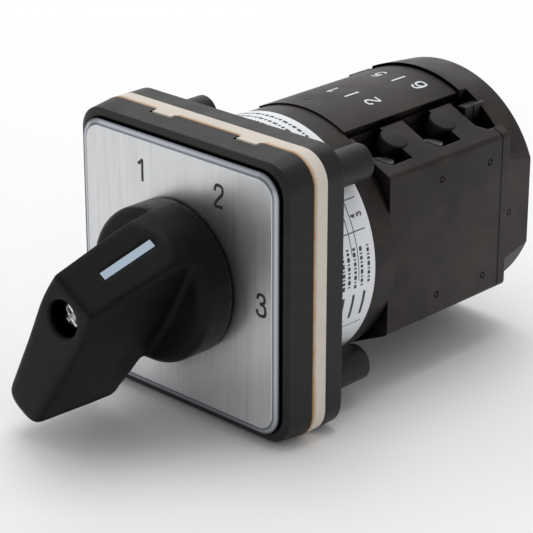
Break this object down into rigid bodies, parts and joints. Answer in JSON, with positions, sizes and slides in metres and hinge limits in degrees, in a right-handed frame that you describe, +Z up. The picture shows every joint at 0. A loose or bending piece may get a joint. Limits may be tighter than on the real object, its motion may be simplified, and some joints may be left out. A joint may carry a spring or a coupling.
{
  "type": "rotary cam switch",
  "caption": "Panel-mounted rotary cam switch with a square front, a pointer knob, a round detent housing and a contact block with clamp terminals behind the panel.",
  "frame": {"origin": "on the shaft axis, in the plane between the panel gasket and the mounting plate, where the panel sits", "axes": "+X right seen from the front, +Y from the knob to the rear along the shaft, +Z up"},
  "size_m": [0.048, 0.0906, 0.048],
  "materials": {
    "black_plastic": "satin moulded",
    "knob_plastic": "fine texture",
    "block_plastic": "matte moulded",
    "natural_plastic": "smooth",
    "brushed_plate": "brushed upright",
    "gasket_foam": "matte",
    "seal_rubber": "smooth",
    "label_paper": "printed",
    "pointer_paint": "filled line",
    "zinc_steel": "zinc plated",
    "bright_steel": "drawn",
    "spring_steel": "smooth wire",
    "brass": "stamped"
  },
  "bodies": {
    "switch": {"bezel": "black_plastic", "legend_plate": "brushed_plate", "panel_gasket": "gasket_foam", "shaft_seal": "seal_rubber", "mounting_plate": "black_plastic", "plate_screws": "zinc_steel", "detent_housing": "block_plastic", "rating_label": "label_paper", "detent_spring_upper": "spring_steel", "detent_spring_lower": "spring_steel", "stop_pins": "bright_steel", "contact_housing": "block_plastic", "terminal_cover_upper": "block_plastic", "terminal_cover_lower": "block_plastic", "end_cap": "block_plastic", "tie_bolts": "zinc_steel", "threaded_inserts": "brass", "terminal_screws": "zinc_steel", "terminal_clamps": "zinc_steel", "contact_spring_1_2": "spring_steel", "contact_spring_3_4": "spring_steel", "contact_spring_5_6": "spring_steel", "contact_spring_7_8": "spring_steel", "terminal_1": "brass", "terminal_2": "brass", "terminal_3": "brass", "terminal_4": "brass", "terminal_5": "brass", "terminal_6": "brass", "terminal_7": "brass", "terminal_8": "brass"},
    "knob_and_shaft": {"knob": "knob_plastic", "knob_pointer": "pointer_paint", "knob_screw": "zinc_steel", "drive_shaft": "bright_steel", "detent_star": "natural_plastic", "stop_disc": "zinc_steel", "cam_1": "natural_plastic", "cam_2": "natural_plastic"},
    "follower_upper": {"detent_follower_upper": "natural_plastic"},
    "follower_lower": {"detent_follower_lower": "natural_plastic"},
    "contact_1_2": {"plunger_1_2": "natural_plastic", "contact_bridge_1_2": "brass"},
    "contact_3_4": {"plunger_3_4": "natural_plastic", "contact_bridge_3_4": "brass"},
    "contact_5_6": {"plunger_5_6": "natural_plastic", "contact_bridge_5_6": "brass"},
    "contact_7_8": {"plunger_7_8": "natural_plastic", "contact_bridge_7_8": "brass"}
  },
  "joints": [
    {"name": "knob_turn", "type": "hinge", "parent": "switch", "child": "knob_and_shaft", "pos_m": [0, 0, 0], "axis": [0, 1, 0], "range_deg": [-60, 60]},
    {"name": "contact_slide_1_2", "type": "slide", "parent": "switch", "child": "contact_1_2", "axis": [0, 0, 1], "range_m": [-0.0012, 0.0012], "deforming": ["contact_spring_1_2"]},
    {"name": "contact_slide_3_4", "type": "slide", "parent": "switch", "child": "contact_3_4", "axis": [0, 0, 1], "range_m": [-0.0012, 0.0012], "deforming": ["contact_spring_3_4"]},
    {"name": "contact_slide_5_6", "type": "slide", "parent": "switch", "child": "contact_5_6", "axis": [0, 0, 1], "range_m": [-0.0012, 0.0012], "deforming": ["contact_spring_5_6"]},
    {"name": "contact_slide_7_8", "type": "slide", "parent": "switch", "child": "contact_7_8", "axis": [0, 0, 1], "range_m": [-0.0012, 0.0012], "deforming": ["contact_spring_7_8"]},
    {"name": "detent_slide_upper", "type": "slide", "parent": "switch", "child": "follower_upper", "axis": [0, 0, 1], "range_m": [-0.0012, 0], "deforming": ["detent_spring_upper"]},
    {"name": "detent_slide_lower", "type": "slide", "parent": "switch", "child": "follower_lower", "axis": [0, 0, 1], "range_m": [0, 0.0012], "deforming": ["detent_spring_lower"]}
  ],
  "couplings": [
    {"joint": "contact_slide_1_2", "follows": "knob_turn", "m_per_rad": 0.001145},
    {"joint": "contact_slide_3_4", "follows": "knob_turn", "m_per_rad": 0.001145},
    {"joint": "contact_slide_5_6", "follows": "knob_turn", "m_per_rad": -0.001145},
    {"joint": "contact_slide_7_8", "follows": "knob_turn", "m_per_rad": -0.001145}
  ]
}
